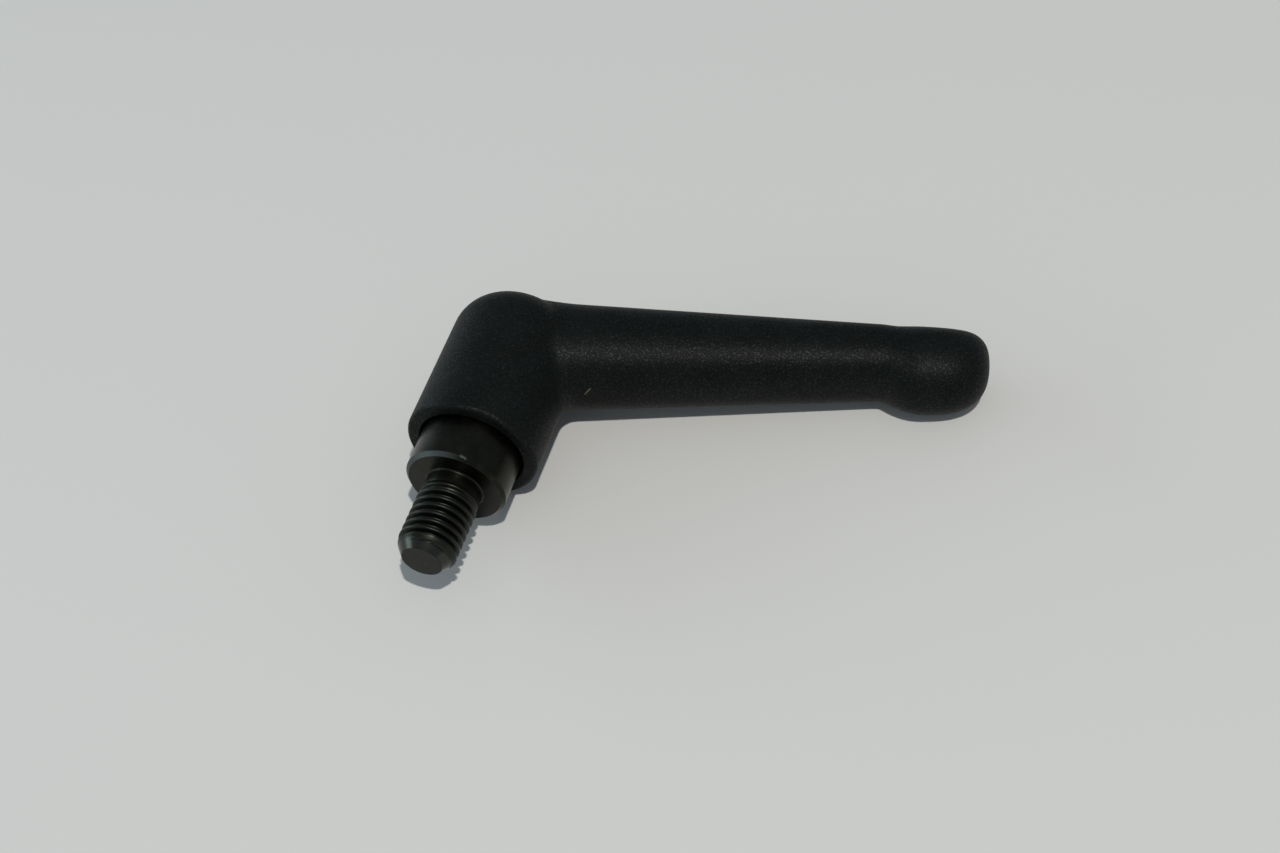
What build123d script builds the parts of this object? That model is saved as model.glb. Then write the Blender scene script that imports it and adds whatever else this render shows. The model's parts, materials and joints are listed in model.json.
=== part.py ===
"""Adjustable clamping lever: cast handle, threaded insert, spring and retaining screw.

The handle is lifted against the spring until its serration leaves the one on the
insert, turned to a handier place, and let go.  All lengths are millimetres.

Lever frame: +Y runs along the turning axis from the insert's seat face into the boss,
the arm leans over +X, and Z is across the arm.  The finished pieces are then rolled
about Y until the boss and the thumb pad lie on one level surface.
"""
from build123d import *
import math
import os

# Stud and collar of the insert
STUD_DIAMETER = 10.0
STUD_LENGTH = 15.0
STUD_CHAMFER_LENGTH = 2.2
STUD_CHAMFER_DEPTH = 1.5
COLLAR_DIAMETER = 17.0
COLLAR_SHOWING = 7.75
COLLAR_GUIDED = 7.0
COLLAR_CHAMFER = 0.6

# Boss of the handle and its bore for the collar
BOSS_WALL = 2.35
BOSS_HEIGHT = 29.3
BOSS_RIM_ROUND = 0.8
BOSS_TOP_ROUND = 7.2
BOSS_TOP_FLAT = 1.0
BORE_CLEARANCE = 0.35
BORE_EDGE_CHAMFER = 0.25
BORE_SPARE = 2.25

# Arm, measured along its own centre line from the turning axis
ARM_ANGLE = 14.8
ARM_REACH = 79.55
ARM_ROOT_DEPTH = 16.9
ARM_ROOT_DROP = 0.1
ARM_SIDE_STEP = 2.9
ARM_END_DEPTH = 9.8
ARM_END_WIDTH = 11.6
ARM_END_ROUND = 4.8
ARM_BLEND = 3.5
ARM_ROOT_RUN = 5.6

# Oval of the arm: how far it squares up, and how its top sinks inside the boss
OVAL_FULLNESS = 2.4
SHOULDER_FULLNESS = 3.0
SHOULDER_DIP = 1.6
OVAL_POINTS = 24
ROOT_SECTION_COUNT = 6

# Thumb pad, a swelling of the arm's lower side and flanks that steps out at its front.
# The widest line sags by a share of the swelling, and the oval softens with it.
PAD_SETBACK = 10.8
PAD_FRONT = 8.8
PAD_BELOW = 8.8
PAD_WIDTH = 14.0
PAD_SAG = 0.29
PAD_SOFTENING = 0.5
PAD_BLEND = 0.5
PAD_SECTION_COUNT = 36

# Rounded end of the arm
END_FULLNESS = 2.7
END_SECTION_COUNT = 6

# Serration that locks the handle to the insert
TOOTH_COUNT = 24
TOOTH_TIP_STEP = 1.05
TOOTH_DEPTH = 0.75
TOOTH_TIP_SHARE = 0.22
TOOTH_ROOT_SHARE = 0.62
TOOTH_CLEARANCE = 0.08
ENGAGEMENT = 3.5
NECK_LENGTH = 1.6
NECK_DEPTH = 0.3

# Retaining screw and the web it passes through
WEB_THICKNESS = 3.0
HEAD_RECESS = 1.2
HEAD_HEIGHT = 4.0
HEAD_CLEARANCE = 0.5
HEAD_CHAMFER = 0.4
SOCKET_ACROSS_FLATS = 4.0
SOCKET_DEPTH = 2.2
SHOULDER_DIAMETER = 6.0
SHOULDER_CLEARANCE = 0.3
SCREW_DIAMETER = 5.0
SCREW_LENGTH = 8.0
SCREW_POINT_CHAMFER = 0.5
TAPPING_SPARE = 2.0
DRILL_POINT_ANGLE = 118.0

# Spring round the screw, in its pocket
SPRING_WIRE = 0.8
SPRING_PITCH = 1.85
SPRING_INNER_CLEARANCE = 0.7
SPRING_OUTER_CLEARANCE = 0.8

# Levels along the turning axis, worked out from the sizes above
boss_bottom = COLLAR_SHOWING
boss_top = boss_bottom + BOSS_HEIGHT
collar_end = COLLAR_SHOWING + COLLAR_GUIDED
bore_end = collar_end + BORE_SPARE
web_bottom = bore_end + ENGAGEMENT
web_top = web_bottom + WEB_THICKNESS
head_top = boss_top - HEAD_RECESS
head_bottom = head_top - HEAD_HEIGHT

# Radii of pieces that fit round one another, from the collar outwards and inwards
stud_radius = STUD_DIAMETER / 2
collar_radius = COLLAR_DIAMETER / 2
bore_radius = collar_radius + BORE_CLEARANCE
boss_radius = bore_radius + BOSS_WALL
tooth_tip_radius = collar_radius - TOOTH_TIP_STEP
tooth_root_radius = tooth_tip_radius - TOOTH_DEPTH
neck_radius = tooth_root_radius - NECK_DEPTH

# Radii from the retaining screw outwards
screw_radius = SCREW_DIAMETER / 2
shoulder_radius = SHOULDER_DIAMETER / 2
coil_radius = shoulder_radius + SPRING_INNER_CLEARANCE + SPRING_WIRE / 2
pocket_radius = coil_radius + SPRING_WIRE / 2 + SPRING_OUTER_CLEARANCE
head_radius = pocket_radius - HEAD_CLEARANCE

# Directions of the arm in the lever frame
arm_lean = math.radians(ARM_ANGLE)
arm_along = Vector(math.cos(arm_lean), math.sin(arm_lean), 0)
arm_above = Vector(-math.sin(arm_lean), math.cos(arm_lean), 0)
arm_origin = Vector(0, boss_top - ARM_ROOT_DROP - ARM_ROOT_DEPTH / 2, 0)
arm_root_width = 2 * (boss_radius - ARM_SIDE_STEP)

# Stations along the arm
root_end = boss_radius + ARM_ROOT_RUN
round_start = ARM_REACH - ARM_END_ROUND
pad_centre = ARM_REACH - PAD_SETBACK
pad_start = pad_centre - PAD_FRONT


def turned(corners):
    """Solid turned about the Y axis from (radius, height) corners."""
    return revolve(make_face(Polyline(*corners, close=True)), Axis.Y)


def cylinder_between(radius, low, high):
    """Round bar on the turning axis between two heights."""
    return turned([(0, low), (radius, low), (radius, high), (0, high)])


def toothed_bar(low, high, clearance):
    """Bar with straight teeth, grown all round by a clearance."""
    pitch = 2 * math.pi / TOOTH_COUNT
    tip = tooth_tip_radius + clearance
    root = tooth_root_radius + clearance
    half_tip = pitch * TOOTH_TIP_SHARE / 2 + clearance / tip
    half_root = pitch * TOOTH_ROOT_SHARE / 2 + clearance / root
    corners = []
    for tooth in range(TOOTH_COUNT):
        middle = tooth * pitch
        for radius, turn in (
            (root, -half_root),
            (tip, -half_tip),
            (tip, half_tip),
            (root, half_root),
        ):
            angle = middle + turn
            corners.append((radius * math.cos(angle), radius * math.sin(angle)))
    level = Plane(origin=(0, low, 0), x_dir=(1, 0, 0), z_dir=(0, 1, 0))
    return extrude(level * make_face(Polyline(*corners, close=True)), high - low)


def arch(share, fullness):
    """Height of an arch of unit height, with share running from -1 to 1 along it."""
    return max(0.0, 1 - abs(share) ** fullness) ** (1 / fullness)


def larger(first, second, blend):
    """Larger of two sizes, rounded off where they cross."""
    return (first + second + math.hypot(first - second, blend)) / 2


def arm_size(station):
    """Half depth and half width of the tapered arm at one station."""
    share = (station - boss_radius) / (ARM_REACH - boss_radius)
    depth = ARM_ROOT_DEPTH + (ARM_END_DEPTH - ARM_ROOT_DEPTH) * share
    width = arm_root_width + (ARM_END_WIDTH - arm_root_width) * share
    return depth / 2, width / 2


def pad_size(station):
    """Depth below the centre line and half width, with the pad, at one station."""
    half_depth, half_width = arm_size(station)
    if station < pad_start:
        return half_depth, half_width
    rise = arch(min(0.0, station - pad_centre) / PAD_FRONT, 2)
    below_line = larger(half_depth, PAD_BELOW * rise, PAD_BLEND)
    return below_line, larger(half_width, PAD_WIDTH / 2 * rise, PAD_BLEND)


def arm_oval(station):
    """One section of the arm, square to its centre line.

    Inside the boss the upper half of the oval squares up, which fills the shoulders, and
    its top dips to stay below the top of the boss.  The lower side closes to the end from
    the middle of the pad, the upper side only along the last few millimetres.
    """
    buried = max(0.0, 1 - station / boss_radius) ** 2
    above_line = arm_size(station)[0]
    below_line, half_width = pad_size(station)
    swelling = below_line - above_line
    upper_close = arch(max(0.0, station - round_start) / ARM_END_ROUND, END_FULLNESS)
    lower_close = arch(max(0.0, station - pad_centre) / PAD_SETBACK, END_FULLNESS)
    fullness = OVAL_FULLNESS - PAD_SOFTENING * swelling / below_line
    widest = -PAD_SAG * swelling * lower_close
    corners = []
    for step in range(OVAL_POINTS):
        turn = 2 * math.pi * step / OVAL_POINTS
        above = math.cos(turn)
        across = math.sin(turn)
        upper = max(0.0, above)
        power = 2 / (fullness + SHOULDER_FULLNESS * buried * upper)
        if above > 0:
            height = above_line * upper_close - widest - SHOULDER_DIP * buried * upper
        else:
            height = below_line * lower_close + widest
        corners.append(
            (
                widest + math.copysign(height * abs(above) ** power, above),
                lower_close * math.copysign(half_width * abs(across) ** power, across),
            )
        )
    place = Plane(
        origin=arm_origin + arm_along * station, x_dir=arm_above, z_dir=arm_along
    )
    return place * make_face(Spline(*corners, periodic=True))


def spaced(start, end, count):
    """Evenly spaced stations from start to end."""
    return [start + (end - start) * step / count for step in range(count + 1)]


def make_boss():
    """Round boss with a softened lower rim and a domed shoulder on top."""
    boss = cylinder_between(boss_radius, boss_bottom, boss_top)
    rims = boss.edges().filter_by(GeomType.CIRCLE).sort_by(Axis.Y)
    boss = fillet(rims[-1], min(BOSS_TOP_ROUND, boss_radius - BOSS_TOP_FLAT))
    rims = boss.edges().filter_by(GeomType.CIRCLE).sort_by(Axis.Y)
    return fillet(rims[0], min(BOSS_RIM_ROUND, (boss_radius - bore_radius) / 2))


def make_arm():
    """Tapered oval arm that swells into the thumb pad and closes in a rounded end."""
    root = loft([arm_oval(station) for station in spaced(0, root_end, ROOT_SECTION_COUNT)])
    shank = loft([arm_oval(root_end), arm_oval(pad_start)], ruled=True)
    pad = loft([arm_oval(station) for station in spaced(pad_start, round_start, PAD_SECTION_COUNT)])
    end = []
    for angle in spaced(0, math.pi / 2, END_SECTION_COUNT)[:-1]:
        end.append(arm_oval(round_start + ARM_END_ROUND * math.sin(angle)))
    end.append(Vertex(arm_origin + arm_along * ARM_REACH))
    return root + shank + pad + loft(end)


def make_casting():
    """Outside of the handle: boss and arm run together with a moulded blend."""
    boss = make_boss()
    arm = make_arm()
    casting = boss + arm
    return fillet(new_edges(boss, arm, combined=casting), ARM_BLEND)


def make_handle():
    """Cast handle, hollowed for the insert's collar and teeth, the spring and the screw."""
    bore = cylinder_between(bore_radius, boss_bottom, bore_end)
    mouth_radius = bore_radius + BORE_EDGE_CHAMFER
    mouth = turned(
        [
            (0, boss_bottom),
            (mouth_radius, boss_bottom),
            (bore_radius, boss_bottom + BORE_EDGE_CHAMFER),
            (0, boss_bottom + BORE_EDGE_CHAMFER),
        ]
    )
    serration = toothed_bar(bore_end, web_bottom, TOOTH_CLEARANCE)
    screw_hole = cylinder_between(shoulder_radius + SHOULDER_CLEARANCE, web_bottom, web_top)
    pocket = cylinder_between(pocket_radius, web_top, boss_top + boss_radius)
    return make_casting() - bore - mouth - serration - screw_hole - pocket


def make_insert():
    """Steel insert: threaded stud, turned collar, neck, serration and tapped end."""
    neck_end = collar_end + NECK_LENGTH
    turned_part = turned(
        [
            (0, -STUD_LENGTH),
            (stud_radius - STUD_CHAMFER_DEPTH, -STUD_LENGTH),
            (stud_radius, STUD_CHAMFER_LENGTH - STUD_LENGTH),
            (stud_radius, 0),
            (collar_radius - COLLAR_CHAMFER, 0),
            (collar_radius, COLLAR_CHAMFER),
            (collar_radius, collar_end - COLLAR_CHAMFER),
            (collar_radius - COLLAR_CHAMFER, collar_end),
            (neck_radius, collar_end),
            (neck_radius, neck_end),
            (0, neck_end),
        ]
    )
    teeth = toothed_bar(neck_end, web_bottom, 0)
    hole_end = web_bottom - SCREW_LENGTH - TAPPING_SPARE
    point = screw_radius / math.tan(math.radians(DRILL_POINT_ANGLE / 2))
    tapping = turned(
        [
            (0, hole_end - point),
            (screw_radius, hole_end),
            (screw_radius, web_bottom),
            (0, web_bottom),
        ]
    )
    return turned_part + teeth - tapping


def make_screw():
    """Shoulder screw that holds the spring down and seats on the insert's end."""
    screw_end = web_bottom - SCREW_LENGTH
    body = turned(
        [
            (0, screw_end),
            (screw_radius - SCREW_POINT_CHAMFER, screw_end),
            (screw_radius, screw_end + SCREW_POINT_CHAMFER),
            (screw_radius, web_bottom),
            (shoulder_radius, web_bottom),
            (shoulder_radius, head_bottom),
            (head_radius, head_bottom),
            (head_radius, head_top - HEAD_CHAMFER),
            (head_radius - HEAD_CHAMFER, head_top),
            (0, head_top),
        ]
    )
    floor = Plane(
        origin=(0, head_top - SOCKET_DEPTH, 0), x_dir=(1, 0, 0), z_dir=(0, 1, 0)
    )
    hexagon = floor * RegularPolygon(SOCKET_ACROSS_FLATS / 2, 6, major_radius=False)
    return body - extrude(hexagon, SOCKET_DEPTH)


def make_spring():
    """Coil spring with ends ground flat, at its fitted length between web and screw head."""
    fitted = head_bottom - web_top
    line = Helix(
        SPRING_PITCH, fitted, coil_radius, center=(0, web_top, 0), direction=(0, 1, 0)
    )
    wire = sweep(Plane(origin=line @ 0, z_dir=line % 0) * Circle(SPRING_WIRE / 2), line)
    return wire & cylinder_between(pocket_radius, web_top, head_bottom)


def rest_roll():
    """Roll about the turning axis that lays the boss and the thumb pad on one level."""
    along = pad_centre * math.cos(arm_lean)
    reach = math.hypot(along, PAD_WIDTH / 2)
    return math.degrees(math.asin(boss_radius / reach) - math.atan2(PAD_WIDTH / 2, along))


def write_parts():
    """Roll every piece into its rest and write one file for each."""
    pieces = {
        "lever_handle": make_handle(),
        "threaded_insert": make_insert(),
        "compression_spring": make_spring(),
        "retaining_screw": make_screw(),
    }
    os.makedirs("parts", exist_ok=True)
    roll = rest_roll()
    for name, piece in pieces.items():
        rested = piece.rotate(Axis.Y, roll)
        export_step(rested, os.path.join("parts", name + ".step"))


write_parts()
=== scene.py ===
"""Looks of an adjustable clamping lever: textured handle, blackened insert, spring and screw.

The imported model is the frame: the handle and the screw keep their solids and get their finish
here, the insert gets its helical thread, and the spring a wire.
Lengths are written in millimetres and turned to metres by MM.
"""
import bmesh
import bpy
import json
import math
from mathutils import Matrix, Vector


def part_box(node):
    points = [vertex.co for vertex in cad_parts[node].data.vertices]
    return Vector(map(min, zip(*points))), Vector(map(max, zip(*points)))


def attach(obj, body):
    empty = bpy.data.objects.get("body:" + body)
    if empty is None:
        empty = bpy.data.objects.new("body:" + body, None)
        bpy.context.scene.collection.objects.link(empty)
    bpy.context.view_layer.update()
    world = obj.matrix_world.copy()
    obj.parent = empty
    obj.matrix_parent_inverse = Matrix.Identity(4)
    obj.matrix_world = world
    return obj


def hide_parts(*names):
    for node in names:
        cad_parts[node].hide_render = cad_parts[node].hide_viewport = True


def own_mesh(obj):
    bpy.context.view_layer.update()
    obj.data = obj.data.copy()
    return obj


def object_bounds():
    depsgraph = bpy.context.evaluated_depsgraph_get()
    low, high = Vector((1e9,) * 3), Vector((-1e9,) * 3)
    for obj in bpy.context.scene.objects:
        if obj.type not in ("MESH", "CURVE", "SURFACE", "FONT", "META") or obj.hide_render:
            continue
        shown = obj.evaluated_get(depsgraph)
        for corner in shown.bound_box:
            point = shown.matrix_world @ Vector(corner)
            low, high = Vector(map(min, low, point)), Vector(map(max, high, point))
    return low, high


MM = 0.001
TURN = 2 * math.pi
MERGE_DISTANCE = 0.0005
SMOOTH_ANGLE = 40

# Thread of the stud
THREAD_PITCH = 1.5
THREAD_DEPTH = 0.85
CREST_SHARE = 0.16
ROOT_SHARE = 0.12
NOSE_LENGTH = 2.3
NOSE_RADIUS = 3.4
NOSE_BULGE = 0.06
LAST_TURN_START = 0.6
LAST_TURN_END = 1.3
RUN_OUT_START = 2.0
RUN_OUT_END = 4.0
NECK_REDUCTION = 0.25
SEAT_FLARE = 0.25
THREAD_SINK = 0.4
CUT_DEPTH = 0.01
CUT_TOLERANCE = 0.001
STEPS_AROUND = 128
STEPS_PER_PITCH = 20

# Spring
SPRING_WIRE = 0.8
SPRING_TURNS = 4.5
SPRING_STEPS_PER_TURN = 64
WIRE_SIDES = 16

# Camera, aimed at a point between the boss and the arm
CAMERA_TARGET = (25.4, 19.0, 0.0)
CAMERA_DISTANCE = 358.4
CAMERA_AZIMUTH = 23.43
CAMERA_ELEVATION = 51.0
CAMERA_ROLL = 7.75
CAMERA_LENS = 61.875
CAMERA_SENSOR = 36.0

# Lamps
KEY_DIRECTION = (0.2305, -0.2935, 0.9277)
KEY_DISTANCE = 1.6
KEY_DIAMETER = 0.05
KEY_POWER = 15.4
KEY_COLOUR = (1.0, 0.98, 0.93)
WINDOW_DIRECTION = (-0.93, -0.14, 0.24)
WINDOW_DISTANCE = 1.2
WINDOW_WIDTH = 1.6
WINDOW_HEIGHT = 0.45
WINDOW_POWER = 6.5
WINDOW_COLOUR = (0.74, 0.92, 1.0)
SURROUND_COLOUR = (0.84, 0.93, 1.0)
SURROUND_STRENGTH = 0.31
FLOOR_COLOUR = (0.645, 0.637, 0.622)
FLOOR_SIZE = 6.0
FLOOR_ROUGHNESS = 0.75
FLOOR_SHINE = 0.2

# Coating of the handle
COAT_DARK = (0.0030, 0.0042, 0.0038)
COAT_LIGHT = (0.0043, 0.0060, 0.0055)
COAT_ROUGHNESS = 0.5
COAT_SHINE = 0.08
COAT_SPARKLE = 0.34
GRAIN_SIZE = 0.16
GRAIN_UNEVENNESS = 0.9
GRAIN_HEIGHT = 0.04

# Blackened and bare steel: darker and lighter colour, roughness, and the lathe's rings
INSERT_STEEL = ((0.018, 0.019, 0.0145), (0.029, 0.030, 0.0235), 0.27)
SCREW_STEEL = ((0.02, 0.0195, 0.018), (0.036, 0.035, 0.032), 0.36)
WIRE_STEEL = ((0.28, 0.27, 0.26), (0.36, 0.35, 0.33), 0.3)
RING_SPACING = 0.16
RING_HEIGHT = 0.004

# Marks of use: a fleck on the arm, a nick in the collar's front edge, a bright nose on the stud and
# worn thread crests; along the left part of the collar's front edge a lighter bluish band, partly
# bare metal and partly a painted reflection of the window
FLECK_START = (14.34, 23.65, -0.25)
FLECK_END = (15.31, 24.05, 0.98)
FLECK_WIDTH = 0.22
FLECK_COLOUR = (0.16, 0.13, 0.09)
NICK_START = (2.20, 0.60, 8.21)
NICK_END = (2.91, 0.45, 7.99)
NICK_WIDTH = 0.55
NICK_COLOUR = (0.12, 0.115, 0.1)
COLLAR_CHAMFER = 0.6
# Lighter bluish band on the left of the collar's front edge: partly bare metal, partly a painted reflection of the
# window
EDGE_WEAR_AND_PAINTED_REFLECTION_LEFT = -1.0
EDGE_WEAR_AND_PAINTED_REFLECTION_RIGHT = 3.0
EDGE_WEAR_AND_PAINTED_REFLECTION_COLOUR = (0.068, 0.076, 0.074)
EDGE_WEAR_ROUGHNESS = 0.5
NOSE_WEAR_LENGTH = 1.5
NOSE_WEAR_COLOUR = (0.052, 0.055, 0.048)
NOSE_WEAR_ROUGHNESS = 0.24
THREAD_ROUGHNESS = 0.38
CREST_WEAR_COLOUR = (0.030, 0.034, 0.030)
CREST_WEAR_DEPTH = 0.35

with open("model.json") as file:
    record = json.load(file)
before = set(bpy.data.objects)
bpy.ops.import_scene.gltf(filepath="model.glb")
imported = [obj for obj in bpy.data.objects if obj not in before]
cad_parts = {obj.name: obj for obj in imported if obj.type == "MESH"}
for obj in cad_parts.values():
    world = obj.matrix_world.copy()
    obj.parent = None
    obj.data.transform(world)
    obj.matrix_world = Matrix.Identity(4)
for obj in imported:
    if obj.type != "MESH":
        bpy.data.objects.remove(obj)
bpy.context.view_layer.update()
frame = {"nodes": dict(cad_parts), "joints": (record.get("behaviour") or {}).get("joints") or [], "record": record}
stud = frame["record"]["mounts"][0]["dims"]


# ---------------------------------------------------------------- node trees

class Number:
    """A number in a node tree; arithmetic on it adds the Math nodes."""

    def __init__(self, tree, socket):
        self.tree = tree
        self.socket = socket

    def _math(self, operation, *others):
        node = self.tree.nodes.new("ShaderNodeMath")
        node.operation = operation
        for slot, value in zip(node.inputs, (self, *others)):
            feed(self.tree, slot, value)
        return Number(self.tree, node.outputs[0])

    def __add__(self, other):
        return self._math("ADD", other)

    def __sub__(self, other):
        return self._math("SUBTRACT", other)

    def __mul__(self, other):
        return self._math("MULTIPLY", other)

    def __truediv__(self, other):
        return self._math("DIVIDE", other)

    def __pow__(self, other):
        return self._math("POWER", other)

    def at_most(self, other):
        return self._math("MINIMUM", other)

    def at_least(self, other):
        return self._math("MAXIMUM", other)

    def fraction(self):
        return self._math("FRACT")

    def size(self):
        return self._math("ABSOLUTE")

    def inverse(self):
        node = add_node(self.tree, "ShaderNodeMath", {0: 1.0, 1: self}, operation="DIVIDE")
        return Number(self.tree, node.outputs[0])

    def sine(self):
        return self._math("SINE")

    def cosine(self):
        return self._math("COSINE")

    def between(self, start, end, low=0.0, high=1.0):
        """Smooth step: low before start, high after end."""
        node = self.tree.nodes.new("ShaderNodeMapRange")
        node.interpolation_type = "SMOOTHSTEP"
        for slot, value in zip(node.inputs, (self, start, end, low, high)):
            feed(self.tree, slot, value)
        return Number(self.tree, node.outputs[0])


def feed(tree, slot, value):
    """Link a socket or a Number into a node's input, or set a plain value."""
    if isinstance(value, Number):
        value = value.socket
    if isinstance(value, bpy.types.NodeSocket):
        tree.links.new(value, slot)
    else:
        slot.default_value = value


def add_node(tree, kind, inputs=None, **settings):
    """Add a node, set its settings and feed the inputs given by name or by place."""
    node = tree.nodes.new(kind)
    for name, value in settings.items():
        setattr(node, name, value)
    for name, value in (inputs or {}).items():
        feed(tree, node.inputs[name], value)
    return node


def group_tree(name, kind, inputs, outputs):
    """Node group with named inputs (name: kind, value) and outputs (name: kind)."""
    tree = bpy.data.node_groups.new(name, kind)
    for label, (socket_kind, value) in inputs.items():
        socket = tree.interface.new_socket(label, in_out="INPUT", socket_type=socket_kind)
        if value is not None:
            socket.default_value = value
    for label, socket_kind in outputs.items():
        tree.interface.new_socket(label, in_out="OUTPUT", socket_type=socket_kind)
    start = tree.nodes.new("NodeGroupInput")
    end = tree.nodes.new("NodeGroupOutput")
    return tree, start, end


# ---------------------------------------------------------------- plain meshes

def in_scene(name, data):
    """Object for a mesh, a lamp or a camera, linked into the scene."""
    holder = bpy.data.objects.new(name, data)
    bpy.context.scene.collection.objects.link(holder)
    return holder


def grown(name, tree, sizes):
    """Plain mesh that a Geometry Nodes tree makes with the given sizes and material."""
    piece = in_scene(name, bpy.data.meshes.new(name))
    maker = piece.modifiers.new(name, "NODES")
    maker.node_group = tree
    for item in tree.interface.items_tree:
        if item.item_type == "SOCKET" and item.in_out == "INPUT" and item.name in sizes:
            maker[item.identifier] = sizes[item.name]
    bpy.context.view_layer.update()
    evaluated = piece.evaluated_get(bpy.context.evaluated_depsgraph_get())
    mesh = bpy.data.meshes.new_from_object(evaluated)
    mesh.name = name
    piece.modifiers.remove(maker)
    piece.data = mesh
    return piece


def close_ends(piece):
    """Merge the seam of a tube, close its open ends and turn its faces outwards."""
    shape = bmesh.new()
    shape.from_mesh(piece.data)
    bmesh.ops.remove_doubles(shape, verts=shape.verts, dist=MERGE_DISTANCE * MM)
    rims = [edge for edge in shape.edges if edge.is_boundary]
    bmesh.ops.holes_fill(shape, edges=rims, sides=0)
    bmesh.ops.recalc_face_normals(shape, faces=shape.faces)
    shape.to_mesh(piece.data)
    shape.free()


def soften(piece):
    """Smooth shading, with the sharper edges kept crisp."""
    mesh = piece.data
    if "custom_normal" in mesh.attributes:
        mesh.attributes.remove(mesh.attributes["custom_normal"])
    mesh.polygons.foreach_set("use_smooth", [True] * len(mesh.polygons))
    mesh.set_sharp_from_angle(angle=math.radians(SMOOTH_ANGLE))


def copy_of_node(node, name):
    """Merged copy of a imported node's mesh, as a piece of its own."""
    piece = in_scene(name, frame["nodes"][node].data.copy())
    piece.data.name = name
    shape = bmesh.new()
    shape.from_mesh(piece.data)
    bmesh.ops.remove_doubles(shape, verts=shape.verts, dist=MERGE_DISTANCE * MM)
    shape.to_mesh(piece.data)
    shape.free()
    return piece


def joined(name, pieces):
    """One piece from several, with one mesh."""
    shape = bmesh.new()
    for piece in pieces:
        shape.from_mesh(piece.data)
    mesh = bpy.data.meshes.new(name)
    shape.to_mesh(mesh)
    shape.free()
    material = pieces[0].data.materials[0]
    for piece in pieces:
        bpy.data.objects.remove(piece)
    mesh.materials.append(material)
    return in_scene(name, mesh)


# ---------------------------------------------------------------- shared finishes

def make_grain_group():
    """Fine pebbled skin of a coating: a height for a bump and a mask of its high spots."""
    tree, start, end = group_tree(
        "pebbled grain",
        "ShaderNodeTree",
        {
            "Vector": ("NodeSocketVector", None),
            "Grain Size": ("NodeSocketFloat", 0.0003),
            "Unevenness": ("NodeSocketFloat", 0.5),
        },
        {"Height": "NodeSocketFloat", "High Spots": "NodeSocketFloat"},
    )
    scale = Number(tree, start.outputs["Grain Size"]).inverse()
    pebbles = add_node(tree, "ShaderNodeTexVoronoi", {
        "Vector": start.outputs["Vector"], "Scale": scale, "Smoothness": 0.6}, feature="SMOOTH_F1")
    swirl = add_node(tree, "ShaderNodeTexNoise", {
        "Vector": start.outputs["Vector"], "Scale": scale * 0.55, "Detail": 3.0, "Roughness": 0.6})
    round_tops = Number(tree, pebbles.outputs["Distance"]) * -1.0 + 1.0
    height = round_tops * 0.6 + Number(tree, swirl.outputs[0]) * start.outputs["Unevenness"]
    feed(tree, end.inputs["Height"], height)
    feed(tree, end.inputs["High Spots"], Number(tree, swirl.outputs[0]).between(0.48, 0.72))
    return tree


def make_turning_group():
    """Fine rings that a lathe leaves round the turning axis, on sides and end faces alike."""
    tree, start, end = group_tree(
        "turning marks",
        "ShaderNodeTree",
        {
            "Vector": ("NodeSocketVector", None),
            "Ring Spacing": ("NodeSocketFloat", 0.0002),
        },
        {"Height": "NodeSocketFloat", "Streaks": "NodeSocketFloat", "Radius": "NodeSocketFloat"},
    )
    place = add_node(tree, "ShaderNodeSeparateXYZ", {0: start.outputs["Vector"]})
    x, y, z = (Number(tree, place.outputs[i]) for i in range(3))
    radius = (x * x + z * z) ** 0.5
    rings = add_node(tree, "ShaderNodeCombineXYZ", {0: radius, 1: y, 2: 0.0})
    scale = Number(tree, start.outputs["Ring Spacing"]).inverse()
    marks = add_node(tree, "ShaderNodeTexNoise", {
        "Vector": rings.outputs[0], "Scale": scale, "Detail": 2.0, "Roughness": 0.6})
    blotches = add_node(tree, "ShaderNodeTexNoise", {
        "Vector": start.outputs["Vector"], "Scale": 420.0, "Detail": 3.0, "Roughness": 0.55})
    feed(tree, end.inputs["Height"], marks.outputs[0])
    streaks = Number(tree, marks.outputs[0]) * 0.5 + Number(tree, blotches.outputs[0]) * 0.5
    feed(tree, end.inputs["Streaks"], streaks)
    feed(tree, end.inputs["Radius"], radius)
    return tree


def make_scratch_group():
    """Mask of a short worn line between two points, with a ragged edge."""
    tree, start, end = group_tree(
        "worn line",
        "ShaderNodeTree",
        {
            "Vector": ("NodeSocketVector", None),
            "Start": ("NodeSocketVector", (0.0, 0.0, 0.0)),
            "End": ("NodeSocketVector", (0.0, 0.0, 0.001)),
            "Width": ("NodeSocketFloat", 0.0003),
        },
        {"Mask": "NodeSocketFloat"},
    )

    def between_points(operation, first, second):
        return add_node(tree, "ShaderNodeVectorMath", {0: first, 1: second}, operation=operation)

    along = between_points("SUBTRACT", start.outputs["End"], start.outputs["Start"]).outputs[0]
    away = between_points("SUBTRACT", start.outputs["Vector"], start.outputs["Start"]).outputs[0]
    reach = Number(tree, between_points("DOT_PRODUCT", away, along).outputs["Value"])
    whole = Number(tree, between_points("DOT_PRODUCT", along, along).outputs["Value"])
    share = (reach / whole).at_least(0.0).at_most(1.0)
    nearest = add_node(tree, "ShaderNodeVectorMath", {0: along, "Scale": share},
                       operation="SCALE").outputs[0]
    distance = Number(tree, between_points("DISTANCE", away, nearest).outputs["Value"])
    rag = add_node(tree, "ShaderNodeTexNoise", {
        "Vector": start.outputs["Vector"], "Scale": 5000.0, "Detail": 2.0})
    spread = distance / start.outputs["Width"] + Number(tree, rag.outputs[0]) * 1.2 - 0.6
    feed(tree, end.inputs["Mask"], spread.between(0.25, 0.6, 1.0, 0.0))
    return tree


def new_material(name):
    """Empty material with its Principled shader and Object coordinates."""
    material = bpy.data.materials.new(name)
    material.use_nodes = True
    tree = material.node_tree
    shader = tree.nodes["Principled BSDF"]
    place = add_node(tree, "ShaderNodeTexCoord").outputs["Object"]
    return material, tree, shader, place


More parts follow.
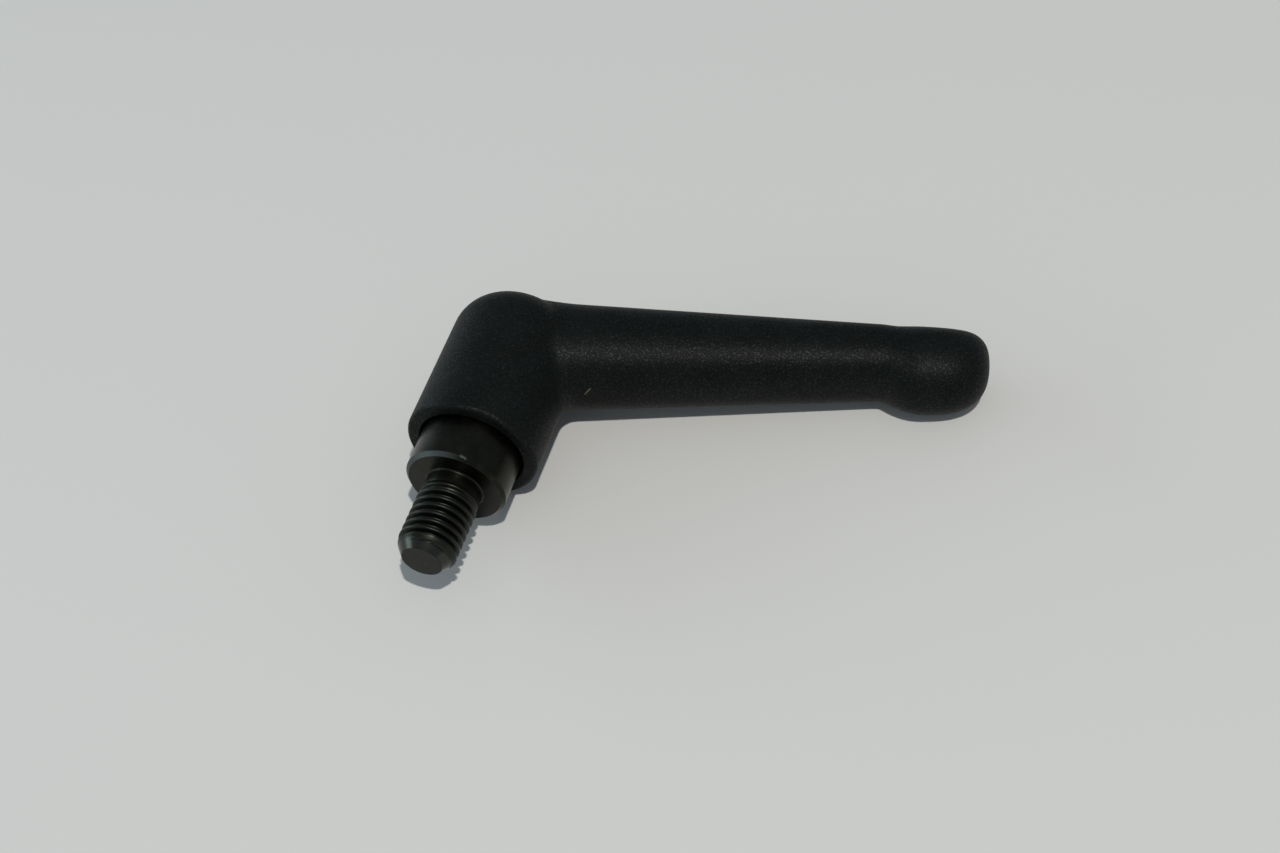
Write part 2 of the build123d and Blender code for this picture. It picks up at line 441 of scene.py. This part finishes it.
def use_group(tree, group, **inputs):
    """Node of a shared group, with its inputs fed by name."""
    node = add_node(tree, "ShaderNodeGroup", node_tree=group)
    for name, value in inputs.items():
        feed(tree, node.inputs[name.replace("_", " ")], value)
    return node


def mixed(tree, factor, first, second):
    """Colour between two, by a factor."""
    node = add_node(tree, "ShaderNodeMix", {"Factor": factor}, data_type="RGBA")
    feed(tree, node.inputs[6], first)
    feed(tree, node.inputs[7], second)
    return node.outputs[2]


def bumped(tree, shader, height, distance):
    """Feed a height into the shader's normal."""
    bump = add_node(tree, "ShaderNodeBump", {"Height": height, "Distance": distance})
    feed(tree, shader.inputs["Normal"], bump.outputs[0])


def scaled(point):
    """Point in metres from millimetres."""
    return tuple(value * MM for value in point)


def make_coating(grain, scratch):
    """Matt black powder coat with a fine pebbled skin that sparkles where the lamp meets it."""
    material, tree, shader, place = new_material("textured_black_coating")
    skin = use_group(tree, grain, Vector=place, Grain_Size=GRAIN_SIZE * MM,
                     Unevenness=GRAIN_UNEVENNESS)
    clouds = add_node(tree, "ShaderNodeTexNoise", {"Vector": place, "Scale": 120.0, "Detail": 2.0})
    shade = Number(tree, clouds.outputs[0]).between(0.35, 0.65)
    fleck = use_group(tree, scratch, Vector=place, Start=scaled(FLECK_START), End=scaled(FLECK_END),
                      Width=FLECK_WIDTH * MM).outputs["Mask"]
    coat = mixed(tree, shade, (*COAT_DARK, 1), (*COAT_LIGHT, 1))
    feed(tree, shader.inputs["Base Color"], mixed(tree, fleck, coat, (*FLECK_COLOUR, 1)))
    shine = Number(tree, skin.outputs["High Spots"])
    feed(tree, shader.inputs["Specular IOR Level"], shine.between(0.0, 1.0, COAT_SHINE, COAT_SPARKLE))
    shader.inputs["Roughness"].default_value = COAT_ROUGHNESS
    bumped(tree, shader, skin.outputs["Height"], GRAIN_HEIGHT * MM)
    return material


def make_steel(name, turning, dark, light, roughness):
    """Steel with turning marks, blackened or bare by its colours."""
    material, tree, shader, place = new_material(name)
    marks = use_group(tree, turning, Vector=place, Ring_Spacing=RING_SPACING * MM)
    shade = Number(tree, marks.outputs["Streaks"]).between(0.35, 0.65)
    feed(tree, shader.inputs["Base Color"], mixed(tree, shade, (*dark, 1), (*light, 1)))
    shader.inputs["Metallic"].default_value = 1.0
    feed(tree, shader.inputs["Roughness"], shade * 0.1 + roughness)
    bumped(tree, shader, marks.outputs["Height"], RING_HEIGHT * MM)
    return material


def roughened(tree, shader, mask, roughness):
    """Lay another roughness over the shader's own, where the mask is."""
    slot = shader.inputs["Roughness"]
    before = Number(tree, slot.links[0].from_socket)
    feed(tree, slot, before + (before * -1.0 + roughness) * mask)


def worn(tree, shader, mask, colour, roughness):
    """Lay a colour and roughness over the shader's own ones, where the mask is: colours of wear, and on the
    collar's edge a band that is partly a painted reflection.
    """
    slot = shader.inputs["Base Color"]
    feed(tree, slot, mixed(tree, mask, slot.links[0].from_socket, (*colour, 1)))
    roughened(tree, shader, mask, roughness)


def wear_and_painted_reflection_on_insert(material, turning, scratch):
    """Duller thread, a bright nose, a nick in the collar's front edge, and a lighter bluish band along its left
    part: partly bare metal, partly a painted reflection of the window.
    """
    tree = material.node_tree
    shader = tree.nodes["Principled BSDF"]
    place = add_node(tree, "ShaderNodeTexCoord").outputs["Object"]
    parts = add_node(tree, "ShaderNodeSeparateXYZ", {0: place})
    x, y = Number(tree, parts.outputs[0]), Number(tree, parts.outputs[1])
    radius = Number(tree, use_group(tree, turning, Vector=place).outputs["Radius"])
    low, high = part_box("threaded_insert")
    stud_end, collar_radius = low.y, high.x
    thread = y.between(-0.1 * MM, -0.02 * MM, 1.0, 0.0)
    roughened(tree, shader, thread, THREAD_ROUGHNESS)
    crest_radius = stud["r_mm"] * MM
    crest = (radius.between(crest_radius - CREST_WEAR_DEPTH * MM, crest_radius - 0.05 * MM)
             * y.between(-RUN_OUT_END * MM, -RUN_OUT_START * MM, 1.0, 0.0))
    worn(tree, shader, crest, CREST_WEAR_COLOUR, THREAD_ROUGHNESS)
    nose_start = stud_end + NOSE_WEAR_LENGTH * MM
    nose = (y.between(nose_start - 0.4 * MM, nose_start + 0.3 * MM, 1.0, 0.0)
            * y.between(stud_end + 0.02 * MM, stud_end + 0.08 * MM))
    worn(tree, shader, nose, NOSE_WEAR_COLOUR, NOSE_WEAR_ROUGHNESS)
    # Band on the left of the collar's front chamfer: lighter bluish colour, partly bare metal and partly a painted
    # reflection of the window
    from_edge = radius * -1.0 + y + collar_radius
    edge = (from_edge.between((COLLAR_CHAMFER + 0.02) * MM, (COLLAR_CHAMFER + 0.12) * MM, 1.0, 0.0)
            * y.between(-0.3 * MM, -0.1 * MM)
            * x.between(EDGE_WEAR_AND_PAINTED_REFLECTION_LEFT * MM, EDGE_WEAR_AND_PAINTED_REFLECTION_RIGHT * MM, 1.0, 0.0))
    worn(tree, shader, edge, EDGE_WEAR_AND_PAINTED_REFLECTION_COLOUR, EDGE_WEAR_ROUGHNESS)
    nick = use_group(tree, scratch, Vector=place, Start=scaled(NICK_START), End=scaled(NICK_END),
                     Width=NICK_WIDTH * MM).outputs["Mask"]
    worn(tree, shader, Number(tree, nick), NICK_COLOUR, EDGE_WEAR_ROUGHNESS)


# ---------------------------------------------------------------- insert

def finish_geometry(tree, start, end, geometry):
    """Last nodes of a Geometry Nodes tree: real geometry with its material."""
    real = add_node(tree, "GeometryNodeRealizeInstances", {0: geometry})
    painted = add_node(tree, "GeometryNodeSetMaterial", {"Geometry": real.outputs[0],
                                                         "Material": start.outputs["Material"]})
    feed(tree, end.inputs[0], painted.outputs[0])


def make_thread_tree():
    """Tube whose skin follows a helical thread, with a run-out at the seat and a rounded nose."""
    tree, start, end = group_tree(
        "stud thread",
        "GeometryNodeTree",
        {
            "Radius": ("NodeSocketFloat", 5.0 * MM),
            "Groove Depth": ("NodeSocketFloat", THREAD_DEPTH * MM),
            "Pitch": ("NodeSocketFloat", THREAD_PITCH * MM),
            "Length": ("NodeSocketFloat", 15.0 * MM),
            "Sink": ("NodeSocketFloat", THREAD_SINK * MM),
            "Steps Around": ("NodeSocketInt", STEPS_AROUND),
            "Steps Along": ("NodeSocketInt", 160),
            "Material": ("NodeSocketMaterial", None),
        },
        {"Geometry": "NodeSocketGeometry"},
    )
    size = {name: Number(tree, start.outputs[name]) for name in
            ("Radius", "Groove Depth", "Pitch", "Length", "Sink")}
    sheet = add_node(tree, "GeometryNodeMeshGrid", {"Size X": 1.0, "Size Y": 1.0,
                                                    "Vertices X": start.outputs["Steps Around"],
                                                    "Vertices Y": start.outputs["Steps Along"]})
    position = add_node(tree, "GeometryNodeInputPosition").outputs[0]
    grid = add_node(tree, "ShaderNodeSeparateXYZ", {0: position})
    turn = Number(tree, grid.outputs[0]) + 0.5
    depth = (Number(tree, grid.outputs[1]) + 0.5) * (size["Length"] + size["Sink"]) - size["Sink"]
    phase = (depth / size["Pitch"] - turn + 8.0).fraction()
    from_crest = (phase - 0.5).size()
    groove = from_crest.between(CREST_SHARE / 2, 0.5 - ROOT_SHARE / 2)
    fade = depth.between(RUN_OUT_START * MM, RUN_OUT_END * MM)
    neck = depth.between(RUN_OUT_START * MM, RUN_OUT_END * MM, NECK_REDUCTION * MM, 0.0)
    to_end = size["Length"] - depth
    last_turn = to_end.between(LAST_TURN_START * MM, LAST_TURN_END * MM)
    thread = size["Radius"] - neck - groove * fade * last_turn * size["Groove Depth"]
    left = to_end / (NOSE_LENGTH * MM)
    nose_rise = size["Radius"] - NOSE_RADIUS * MM
    bulge = (left - left * left).at_least(0.0) * (4 * NOSE_BULGE * MM)
    nose = nose_rise * left + NOSE_RADIUS * MM + bulge
    flare_left = (depth / (SEAT_FLARE * MM) * -1.0 + 1.0).at_least(0.0)
    flare = flare_left * flare_left * (SEAT_FLARE * MM)
    radius = thread.at_most(nose) + flare
    angle = turn * TURN
    point = add_node(tree, "ShaderNodeCombineXYZ", {0: radius * angle.cosine(), 1: depth * -1.0,
                                                    2: radius * angle.sine()})
    shaped = add_node(tree, "GeometryNodeSetPosition", {"Geometry": sheet.outputs["Mesh"],
                                                        "Position": point.outputs[0]})
    finish_geometry(tree, start, end, shaped.outputs[0])
    return tree


def make_insert(finish):
    """Insert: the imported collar, neck and serration, and a stud with its real thread."""
    hub = copy_of_node("threaded_insert", "hub")
    shape = bmesh.new()
    shape.from_mesh(hub.data)
    everything = shape.verts[:] + shape.edges[:] + shape.faces[:]
    cut = bmesh.ops.bisect_plane(shape, geom=everything, dist=CUT_TOLERANCE * MM,
                                 plane_co=(0, -CUT_DEPTH * MM, 0), plane_no=(0, -1, 0),
                                 clear_outer=True)
    rim = [item for item in cut["geom_cut"] if isinstance(item, bmesh.types.BMEdge)]
    bmesh.ops.holes_fill(shape, edges=rim, sides=0)
    shape.to_mesh(hub.data)
    shape.free()
    hub.data.materials.clear()
    hub.data.materials.append(finish)
    length = -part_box("threaded_insert")[0].y
    rows = round((length + THREAD_SINK * MM) / (THREAD_PITCH * MM) * STEPS_PER_PITCH)
    thread = grown("thread", make_thread_tree(), {
        "Radius": stud["r_mm"] * MM,
        "Length": length,
        "Steps Along": rows,
        "Material": finish,
    })
    close_ends(thread)
    insert = joined("insert_with_thread", [hub, thread])
    soften(insert)
    return insert


# ---------------------------------------------------------------- spring

def make_spring_tree():
    """Round wire along a helix, with both ends ground flat."""
    tree, start, end = group_tree(
        "coil spring",
        "GeometryNodeTree",
        {
            "Coil Radius": ("NodeSocketFloat", 4.1 * MM),
            "Wire Radius": ("NodeSocketFloat", 0.4 * MM),
            "Height": ("NodeSocketFloat", 8.0 * MM),
            "Turns": ("NodeSocketFloat", SPRING_TURNS),
            "Start": ("NodeSocketFloat", 0.0),
            "Material": ("NodeSocketMaterial", None),
        },
        {"Geometry": "NodeSocketGeometry"},
    )
    coil = add_node(tree, "GeometryNodeCurveSpiral", {
        "Resolution": SPRING_STEPS_PER_TURN, "Rotations": start.outputs["Turns"],
        "Start Radius": start.outputs["Coil Radius"], "End Radius": start.outputs["Coil Radius"],
        "Height": start.outputs["Height"]})
    wire = add_node(tree, "GeometryNodeCurvePrimitiveCircle", {
        "Resolution": WIRE_SIDES, "Radius": start.outputs["Wire Radius"]})
    tube = add_node(tree, "GeometryNodeCurveToMesh", {
        "Curve": coil.outputs[0], "Profile Curve": wire.outputs[0], "Fill Caps": True})
    position = add_node(tree, "GeometryNodeInputPosition").outputs[0]
    stood = add_node(tree, "ShaderNodeSeparateXYZ", {0: position})
    x, y, z = (Number(tree, stood.outputs[i]) for i in range(3))
    ground = z.at_least(0.0).at_most(start.outputs["Height"]) + start.outputs["Start"]
    point = add_node(tree, "ShaderNodeCombineXYZ", {0: x, 1: ground, 2: y * -1.0})
    placed = add_node(tree, "GeometryNodeSetPosition", {"Geometry": tube.outputs[0],
                                                        "Position": point.outputs[0]})
    finish_geometry(tree, start, end, placed.outputs[0])
    return tree


def make_spring(finish):
    """Spring between the web of the boss and the screw's head."""
    low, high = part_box("compression_spring")
    spring = grown("spring_wire", make_spring_tree(), {
        "Coil Radius": high.x - SPRING_WIRE / 2 * MM,
        "Wire Radius": SPRING_WIRE / 2 * MM,
        "Height": high.y - low.y,
        "Start": low.y,
        "Material": finish,
    })
    soften(spring)
    return spring


# ---------------------------------------------------------------- floor, light, camera

def make_floor():
    """Plain pale floor under the lowest point of the lever."""
    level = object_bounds()[0][2]
    mesh = bpy.data.meshes.new("floor")
    half = FLOOR_SIZE / 2
    corners = [(-half, -half, level), (half, -half, level), (half, half, level), (-half, half, level)]
    mesh.from_pydata(corners, [], [(0, 1, 2, 3)])
    material, _, shader, _ = new_material("pale_floor")
    shader.inputs["Base Color"].default_value = (*FLOOR_COLOUR, 1)
    shader.inputs["Roughness"].default_value = FLOOR_ROUGHNESS
    shader.inputs["Specular IOR Level"].default_value = FLOOR_SHINE
    mesh.materials.append(material)
    floor = in_scene("floor", mesh)


def add_lamp(name, place, target, power, colour, **settings):
    """Area lamp that faces the target."""
    lamp = bpy.data.lights.new(name, "AREA")
    lamp.energy = power
    lamp.color = colour
    for key, value in settings.items():
        setattr(lamp, key, value)
    holder = in_scene(name, lamp)
    holder.location = place
    holder.rotation_euler = (Vector(target) - Vector(place)).to_track_quat("-Z", "Y").to_euler()


def light_scene():
    """Small warm lamp above, a wide cool window low on the left, and a dim surround."""
    centre = Vector(CAMERA_TARGET) * MM
    key_place = centre + Vector(KEY_DIRECTION).normalized() * KEY_DISTANCE
    add_lamp("key_lamp", key_place, centre, KEY_POWER, KEY_COLOUR, shape="DISK", size=KEY_DIAMETER)
    window_place = centre + Vector(WINDOW_DIRECTION).normalized() * WINDOW_DISTANCE
    add_lamp("window", window_place, centre, WINDOW_POWER, WINDOW_COLOUR, shape="RECTANGLE",
             size=WINDOW_WIDTH, size_y=WINDOW_HEIGHT)
    world = bpy.data.worlds.new("surround")
    world.use_nodes = True
    surround = world.node_tree.nodes["Background"]
    surround.inputs["Color"].default_value = (*SURROUND_COLOUR, 1)
    surround.inputs["Strength"].default_value = SURROUND_STRENGTH
    bpy.context.scene.world = world


def place_camera():
    """Camera at its azimuth, elevation, roll and distance from the target."""
    azimuth = math.radians(CAMERA_AZIMUTH)
    elevation = math.radians(CAMERA_ELEVATION)
    forward = Vector((-math.sin(azimuth) * math.cos(elevation),
                      math.cos(azimuth) * math.cos(elevation),
                      -math.sin(elevation)))
    level = forward.cross(Vector((0, 0, 1))).normalized()
    right = Matrix.Rotation(math.radians(CAMERA_ROLL), 3, forward) @ level
    up = right.cross(forward)
    data = bpy.data.cameras.new("camera")
    data.lens = CAMERA_LENS
    data.sensor_width = CAMERA_SENSOR
    data.sensor_fit = "HORIZONTAL"
    data.clip_start = 0.01
    camera = in_scene("camera", data)
    turned = Matrix((right, up, -forward)).transposed().to_4x4()
    place = (Vector(CAMERA_TARGET) - forward * CAMERA_DISTANCE) * MM
    camera.matrix_world = Matrix.Translation(place) @ turned
    bpy.context.scene.camera = camera


def paint(node, material):
    """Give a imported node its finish."""
    mesh = frame["nodes"][node].data
    for index in range(len(mesh.materials)):
        mesh.materials[index] = material
    if not mesh.materials:
        mesh.materials.append(material)


grain = make_grain_group()
turning = make_turning_group()
scratch = make_scratch_group()
steel = make_steel("blackened_steel", turning, *INSERT_STEEL)
wear_and_painted_reflection_on_insert(steel, turning, scratch)
screw_steel = make_steel("blackened_screw", turning, *SCREW_STEEL)
wire_steel = make_steel("spring_steel", turning, *WIRE_STEEL)

paint("lever_handle", make_coating(grain, scratch))
paint("retaining_screw", screw_steel)

insert = make_insert(steel)
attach(insert, "insert")
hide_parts("threaded_insert")

web_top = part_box("compression_spring")[0].y
rest_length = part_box("compression_spring")[1].y - web_top
lift = next(joint for joint in frame["joints"] if joint["name"] == "lift")
spring = make_spring(wire_steel)
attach(spring, "spring")
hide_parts("compression_spring")
(rest_length - lift["range_m"][1]) / rest_length
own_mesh(spring)

make_floor()
light_scene()
place_camera()
bpy.context.scene.view_settings.view_transform = "Standard"
